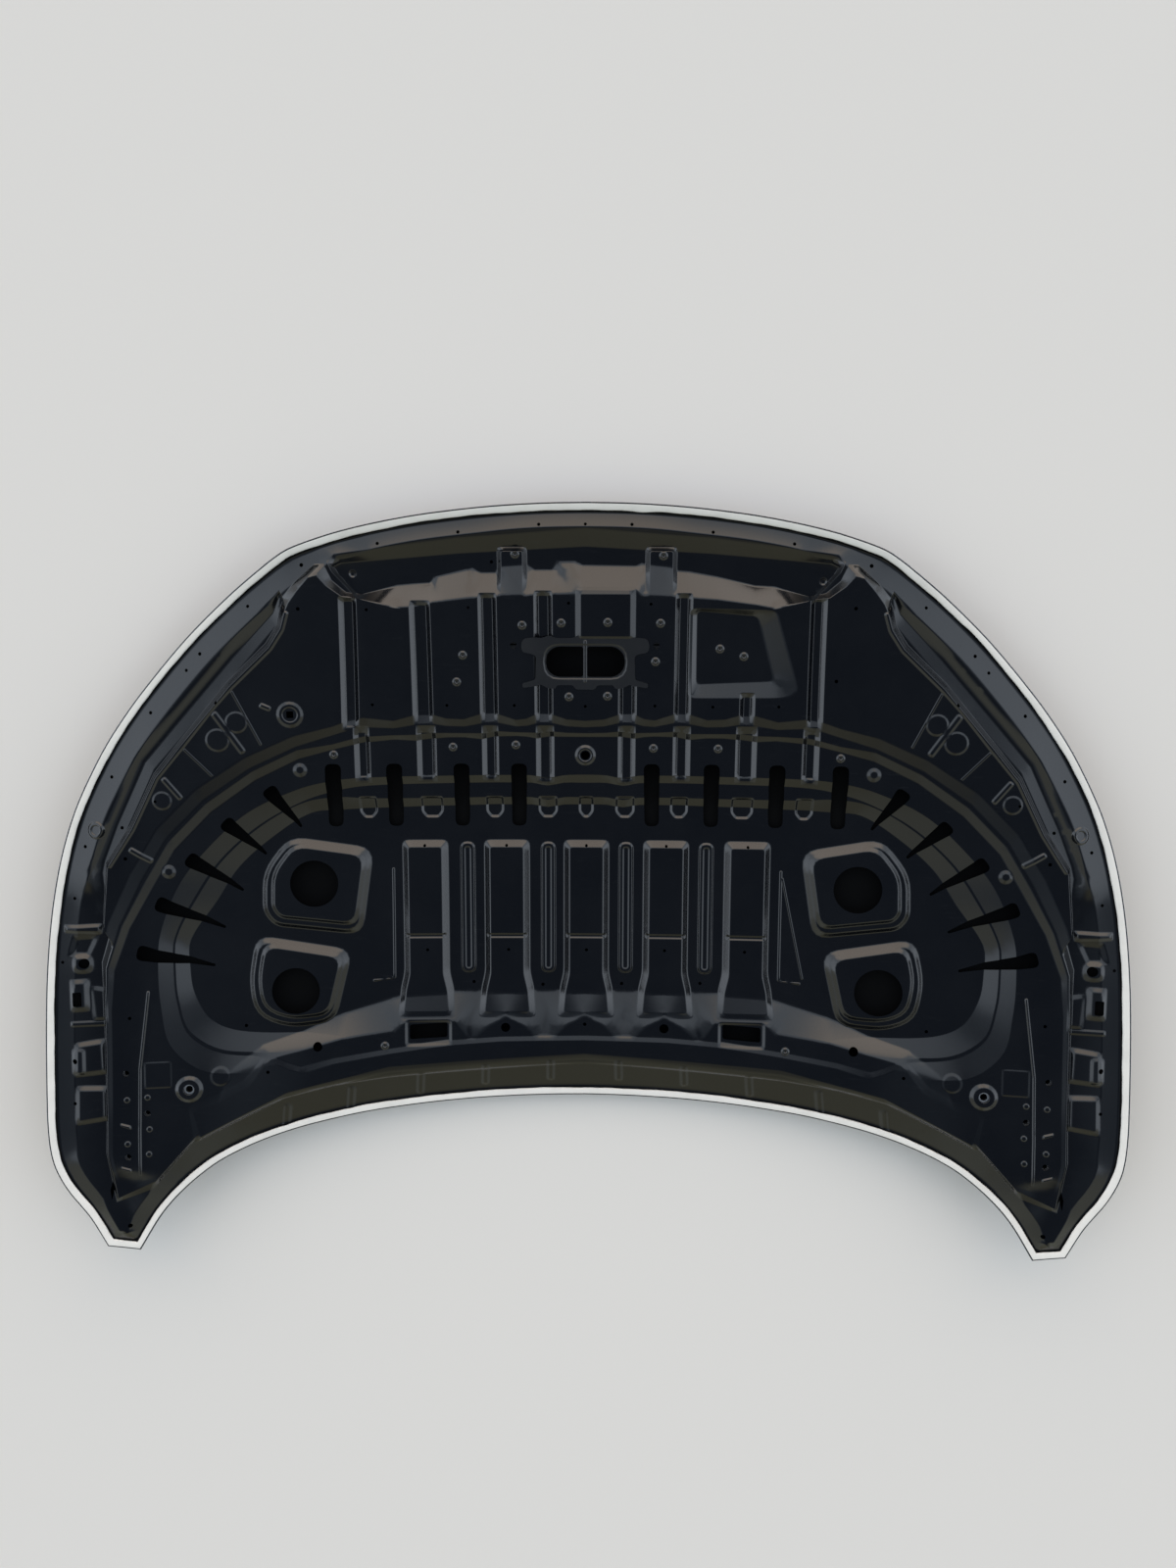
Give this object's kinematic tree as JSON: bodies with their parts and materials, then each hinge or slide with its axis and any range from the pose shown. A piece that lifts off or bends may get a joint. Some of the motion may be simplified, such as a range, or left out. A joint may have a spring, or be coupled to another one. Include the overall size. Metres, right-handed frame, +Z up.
{
  "type": "car bonnet",
  "caption": "Steel car bonnet with a crowned outer skin, a pressed inner panel with ribs, slots and pads, a hemmed edge with white sealer, and hinge seats at its rear corners.",
  "frame": {"origin": "bottom centre of the part's box, on the surface that its outer skin rests on", "axes": "+X to the right-hand side, +Y towards the nose, +Z up out of the inner side"},
  "size_m": [1.488, 1.036, 0.108],
  "materials": {
    "navy_paint": "satin to gloss dark navy paint",
    "primer_paint": "satin dark primer",
    "sealer_white": "off-white brushed hem sealer",
    "plated_steel": "plated steel",
    "mastic_grey": "dull expanding mastic"
  },
  "bodies": {
    "root": {"outer_skin": "navy_paint", "inner_panel": "navy_paint", "hem_sealer": "sealer_white", "striker_ring": "navy_paint", "striker_reinforcement": "primer_paint", "nose_dent_brace": "primer_paint", "hinge_reinforcement_left": "primer_paint", "hinge_reinforcement_right": "primer_paint", "hinge_weld_nut_left_1": "plated_steel", "hinge_weld_nut_left_2": "plated_steel", "hinge_weld_nut_left_3": "plated_steel", "hinge_weld_nut_right_1": "plated_steel", "hinge_weld_nut_right_2": "plated_steel", "hinge_weld_nut_right_3": "plated_steel", "stay_weld_nut_left": "plated_steel", "stay_weld_nut_right": "plated_steel", "mastic_pad_left_1": "mastic_grey", "mastic_pad_left_2": "mastic_grey", "mastic_pad_left_3": "mastic_grey", "mastic_pad_left_4": "mastic_grey", "mastic_pad_right_1": "mastic_grey", "mastic_pad_right_2": "mastic_grey", "mastic_pad_right_3": "mastic_grey", "mastic_pad_right_4": "mastic_grey"}
  },
  "joints": []
}
